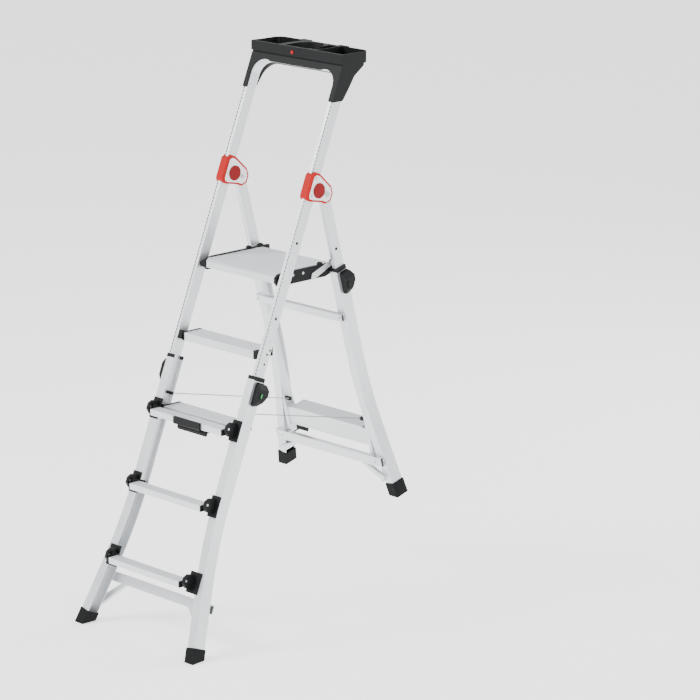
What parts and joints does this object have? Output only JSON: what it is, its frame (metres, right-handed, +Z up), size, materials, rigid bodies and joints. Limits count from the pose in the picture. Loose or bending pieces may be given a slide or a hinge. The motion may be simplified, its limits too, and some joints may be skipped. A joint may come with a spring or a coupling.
{
  "type": "step ladder",
  "caption": "Folding aluminium step ladder with a platform, a safety bow and tool tray, and telescoping legs with flared feet.",
  "frame": {"origin": "on the floor, in the middle between the front feet and the rear feet", "axes": "+X across the ladder to the right as seen from the front, +Y from the front steps to the rear legs, +Z up"},
  "size_m": [0.5678, 0.9717, 1.838],
  "materials": {
    "silver": "satin extruded",
    "black": "moulded, fine texture",
    "grey": "light, ribbed",
    "red": "moulded, satin",
    "maroon": "smooth",
    "steel": "zinc plated",
    "cord": "braided"
  },
  "bodies": {
    "front_frame": {"rail_tube": "silver", "bow_cover": "black", "tray": "black", "emblem": "red", "hinge_housing_left": "red", "hinge_housing_right": "red", "hinge_plates": "silver", "hinge_badges": "maroon", "hinge_pins": "steel", "hinge_screws": "steel", "deep_step_upper": "silver", "deep_step_lower": "silver", "step_ends": "black", "platform_pivots": "black", "front_plugs": "black", "cord_clips": "black", "front_rivets": "steel", "cord_left": "cord", "cord_right": "cord"},
    "platform": {"platform_tread": "grey", "platform_plate_left": "black", "platform_plate_right": "black", "platform_arms": "silver", "platform_rivets": "steel"},
    "rear_frame": {"rear_rail_left": "silver", "rear_rail_right": "silver", "rear_tread": "silver", "rear_plugs": "black", "rear_stubs": "steel", "rear_release_cover": "black", "cord_eyes": "black"},
    "rear_release": {"rear_release": "black"},
    "rear_legs": {"rear_outer_left": "silver", "rear_outer_right": "silver", "rear_collars": "black", "rear_upper_bar": "silver", "rear_low_bar": "silver", "rear_struts": "silver", "rear_feet": "black", "rear_locks": "black", "rear_rivets": "steel"},
    "rear_lock_left": {"rear_bolt_left": "black"},
    "rear_lock_right": {"rear_bolt_right": "black"},
    "front_legs": {"front_outer_left": "silver", "front_outer_right": "silver", "front_collars": "black", "step_3": "silver", "step_4": "silver", "step_5": "silver", "step_lugs": "black", "front_low_bar": "silver", "front_struts": "silver", "front_feet": "black", "front_locks": "black", "release_cover": "black", "front_rivets_low": "steel"},
    "front_lock_left": {"front_bolt_left": "black"},
    "front_lock_right": {"front_bolt_right": "black"},
    "release": {"release_lever": "black"}
  },
  "joints": [
    {"name": "fold", "type": "hinge", "parent": "front_frame", "child": "rear_frame", "pos_m": [0, 0.16721, 1.40016], "axis": [-1, 0, 0], "range_deg": [0, 33], "deforming": ["cord_left", "cord_right"]},
    {"name": "platform_tilt", "type": "hinge", "parent": "front_frame", "child": "platform", "pos_m": [0, -0.00347, 1.135], "axis": [1, 0, 0], "range_deg": [0, 59.4]},
    {"name": "front_slide", "type": "slide", "parent": "front_frame", "child": "front_legs", "axis": [0, 0.3714, 0.9285], "range_m": [0, 0.495]},
    {"name": "rear_slide", "type": "slide", "parent": "rear_frame", "child": "rear_legs", "axis": [0, 0.2706, -0.9627], "range_m": [-0.119, 0.358]},
    {"name": "front_bolt_left", "type": "slide", "parent": "front_legs", "child": "front_lock_left", "axis": [-1, 0, 0], "range_m": [0, 0.008]},
    {"name": "rear_bolt_left", "type": "slide", "parent": "rear_legs", "child": "rear_lock_left", "axis": [-1, 0, 0], "range_m": [0, 0.008], "stiffness_N_per_m": 600},
    {"name": "front_bolt_right", "type": "slide", "parent": "front_legs", "child": "front_lock_right", "axis": [1, 0, 0], "range_m": [0, 0.008]},
    {"name": "rear_bolt_right", "type": "slide", "parent": "rear_legs", "child": "rear_lock_right", "axis": [1, 0, 0], "range_m": [0, 0.008], "stiffness_N_per_m": 600},
    {"name": "release_lift", "type": "hinge", "parent": "front_legs", "child": "release", "pos_m": [0, -0.2239, 0.6675], "axis": [1, 0, 0], "range_deg": [0, 6], "stiffness_Nm_per_rad": 2},
    {"name": "rear_release_lift", "type": "hinge", "parent": "rear_frame", "child": "rear_release", "pos_m": [0, 0.42537, 0.51499], "axis": [1, 0, 0], "range_deg": [0, 6], "stiffness_Nm_per_rad": 2}
  ],
  "couplings": [
    {"joint": "platform_tilt", "follows": "fold", "ratio": 1.8},
    {"joint": "front_bolt_left", "follows": "release_lift", "m_per_rad": 0.07639},
    {"joint": "front_bolt_right", "follows": "release_lift", "m_per_rad": 0.07639}
  ]
}
